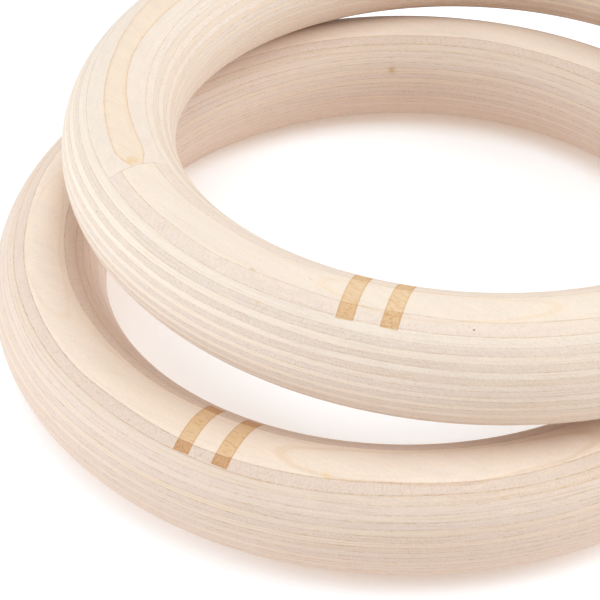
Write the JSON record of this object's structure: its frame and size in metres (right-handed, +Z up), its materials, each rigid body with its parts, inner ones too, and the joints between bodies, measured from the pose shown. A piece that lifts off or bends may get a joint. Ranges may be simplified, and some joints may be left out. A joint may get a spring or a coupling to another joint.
{
  "type": "gymnastics rings",
  "caption": "Pair of turned plywood gymnastics rings with round grips, one lying loose across the other, built veneer by veneer.",
  "frame": {"origin": "under the middle of the pair's outline, on the surface that the lower ring lies on", "axes": "+Z up, +X from the lower ring's centre towards the upper ring's centre"},
  "size_m": [0.2623, 0.235, 0.0672],
  "materials": {
    "long_grain_veneer": "raw birch, sanded satin",
    "cross_grain_veneer": "raw birch, sanded satin"
  },
  "bodies": {
    "lower_ring": {"lower_ring_ply_01": "cross_grain_veneer", "lower_ring_ply_02": "long_grain_veneer", "lower_ring_ply_03": "cross_grain_veneer", "lower_ring_ply_04": "long_grain_veneer", "lower_ring_ply_05": "cross_grain_veneer", "lower_ring_ply_06": "long_grain_veneer", "lower_ring_ply_07": "cross_grain_veneer", "lower_ring_ply_08": "long_grain_veneer", "lower_ring_ply_09": "cross_grain_veneer", "lower_ring_ply_10": "long_grain_veneer", "lower_ring_ply_11": "cross_grain_veneer", "lower_ring_ply_12": "long_grain_veneer", "lower_ring_ply_13": "cross_grain_veneer", "lower_ring_ply_14": "long_grain_veneer", "lower_ring_ply_15": "cross_grain_veneer", "lower_ring_ply_16": "long_grain_veneer", "lower_ring_ply_17": "cross_grain_veneer", "lower_ring_ply_18": "long_grain_veneer", "lower_ring_ply_19": "cross_grain_veneer", "lower_ring_ply_20": "long_grain_veneer", "lower_ring_ply_21": "cross_grain_veneer", "lower_ring_ply_22": "long_grain_veneer"},
    "upper_ring": {"upper_ring_ply_01": "cross_grain_veneer", "upper_ring_ply_02": "long_grain_veneer", "upper_ring_ply_03": "cross_grain_veneer", "upper_ring_ply_04": "long_grain_veneer", "upper_ring_ply_05": "cross_grain_veneer", "upper_ring_ply_06": "long_grain_veneer", "upper_ring_ply_07": "cross_grain_veneer", "upper_ring_ply_08": "long_grain_veneer", "upper_ring_ply_09": "cross_grain_veneer", "upper_ring_ply_10": "long_grain_veneer", "upper_ring_ply_11": "cross_grain_veneer", "upper_ring_ply_12": "long_grain_veneer", "upper_ring_ply_13": "cross_grain_veneer", "upper_ring_ply_14": "long_grain_veneer", "upper_ring_ply_15": "cross_grain_veneer", "upper_ring_ply_16": "long_grain_veneer", "upper_ring_ply_17": "cross_grain_veneer", "upper_ring_ply_18": "long_grain_veneer", "upper_ring_ply_19": "cross_grain_veneer", "upper_ring_ply_20": "long_grain_veneer", "upper_ring_ply_21": "cross_grain_veneer", "upper_ring_ply_22": "long_grain_veneer"}
  },
  "joints": [
    {"name": "upper_ring_lift", "type": "slide", "parent": "lower_ring", "child": "upper_ring", "axis": [0, 0, 1], "range_m": [0, 0.15]}
  ]
}
